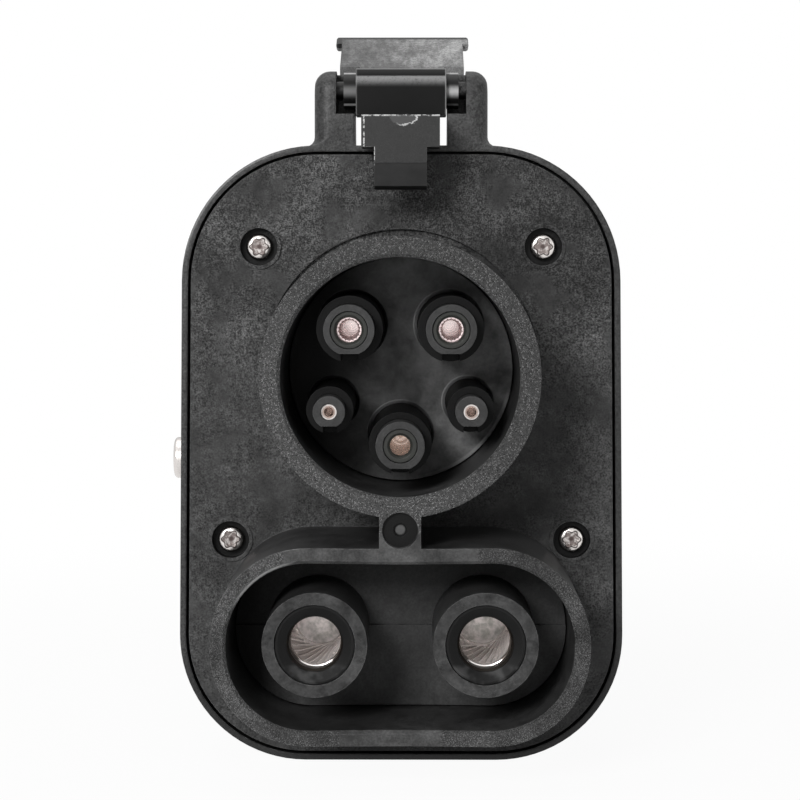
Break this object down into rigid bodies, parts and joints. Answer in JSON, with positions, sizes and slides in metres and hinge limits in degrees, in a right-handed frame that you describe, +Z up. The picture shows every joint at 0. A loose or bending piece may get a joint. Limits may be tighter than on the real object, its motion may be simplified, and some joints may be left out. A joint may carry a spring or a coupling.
{
  "type": "electric vehicle charging adapter",
  "caption": "Black DC charging adapter with a round nose and a long shroud of contacts, a face plate in a moulded shell, and a sprung latch lever on top.",
  "frame": {"origin": "on the axis of the round nose, at the front face of the face plate", "axes": "X to the right seen from the plug, Y from the plug towards the handle end, Z up; it stands on its flat underside"},
  "size_m": [0.0756, 0.132, 0.1241],
  "materials": {
    "shell_plastic": "satin black moulded plastic with smudges",
    "plate_plastic": "fine-grained black moulding, sandy on the front edges",
    "insert_plastic": "smooth black moulded plastic",
    "latch_plastic": "black moulded plastic, worn pale along the edges",
    "contact_metal": "silver-plated copper alloy",
    "pin_steel": "stainless steel",
    "copper_bar": "tinned copper",
    "seal_rubber": "soft black seal",
    "board_laminate": "green laminate",
    "lead_insulation": "insulated lead"
  },
  "bodies": {
    "adapter_body": {"rear_shell": "shell_plastic", "face_plate": "plate_plastic", "nose_insert": "insert_plastic", "line_bush_left": "insert_plastic", "line_bush_right": "insert_plastic", "pilot_bush": "insert_plastic", "proximity_bush": "insert_plastic", "ground_bush": "insert_plastic", "line_tower_left": "insert_plastic", "line_tower_right": "insert_plastic", "pilot_tower": "insert_plastic", "proximity_tower": "insert_plastic", "ground_tower": "insert_plastic", "dc_insert": "insert_plastic", "inlet_body": "insert_plastic", "ground_guard": "insert_plastic", "dc_guard_left": "insert_plastic", "dc_guard_right": "insert_plastic", "line_guard_left": "insert_plastic", "line_guard_right": "insert_plastic", "pin_tip_left": "insert_plastic", "pin_tip_right": "insert_plastic", "temperature_sensor_left": "insert_plastic", "temperature_sensor_right": "insert_plastic", "dc_socket_left": "contact_metal", "dc_socket_right": "contact_metal", "dc_lamella_left": "contact_metal", "dc_lamella_right": "contact_metal", "line_socket_left": "contact_metal", "line_socket_right": "contact_metal", "ground_socket": "contact_metal", "pilot_socket": "contact_metal", "proximity_socket": "contact_metal", "inlet_power_pin_left": "contact_metal", "inlet_power_pin_right": "contact_metal", "inlet_ground_pin": "contact_metal", "inlet_pilot_pin": "contact_metal", "inlet_proximity_pin": "contact_metal", "latch_pin": "pin_steel", "latch_spring": "pin_steel", "side_stud": "pin_steel", "plate_screw_upper_left": "pin_steel", "plate_screw_upper_right": "pin_steel", "plate_screw_lower_left": "pin_steel", "plate_screw_lower_right": "pin_steel", "inlet_screw_upper_left": "pin_steel", "inlet_screw_upper_right": "pin_steel", "inlet_screw_lower_left": "pin_steel", "inlet_screw_lower_right": "pin_steel", "busbar_left": "copper_bar", "busbar_right": "copper_bar", "ground_bar": "copper_bar", "face_gasket": "seal_rubber", "inlet_gasket": "seal_rubber", "circuit_board": "board_laminate", "pilot_lead": "lead_insulation", "proximity_lead": "lead_insulation"},
    "latch": {"latch_lever": "latch_plastic"}
  },
  "joints": [
    {"name": "latch_rock", "type": "hinge", "parent": "adapter_body", "child": "latch", "pos_m": [0, 0.004, 0.0459], "axis": [-1, 0, 0], "range_deg": [0, 12], "stiffness_Nm_per_rad": 0.35, "springref_deg": -8.59, "deforming": ["latch_spring"]}
  ]
}
